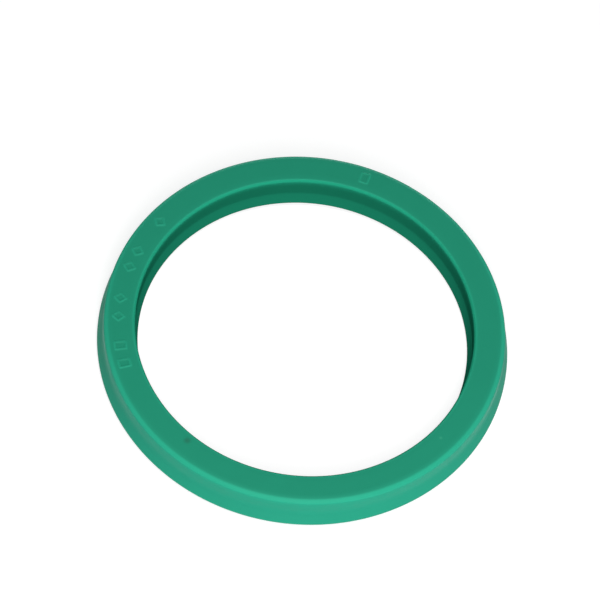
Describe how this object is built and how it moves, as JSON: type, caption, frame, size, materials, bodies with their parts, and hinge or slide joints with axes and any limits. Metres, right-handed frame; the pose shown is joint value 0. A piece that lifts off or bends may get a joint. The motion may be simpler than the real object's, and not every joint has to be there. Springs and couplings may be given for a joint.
{
  "type": "u cup seal",
  "caption": "Flat green U cup seal ring: square heel with small softened chamfers, two short flared lips with chamfered sealing edges, and a V groove with a round bottom between them.",
  "frame": {"origin": "centre of the ring on the plane of the two lip rims, which it lies on", "axes": "+Z along the ring's axis, from the lips towards the heel; +X and +Y are any two radii at right angles"},
  "size_m": [0.0612, 0.0612, 0.006],
  "materials": {
    "polyurethane": "smooth moulded polyurethane, soft satin sheen, opaque green"
  },
  "bodies": {
    "root": {"seal_ring": "polyurethane"}
  },
  "joints": []
}
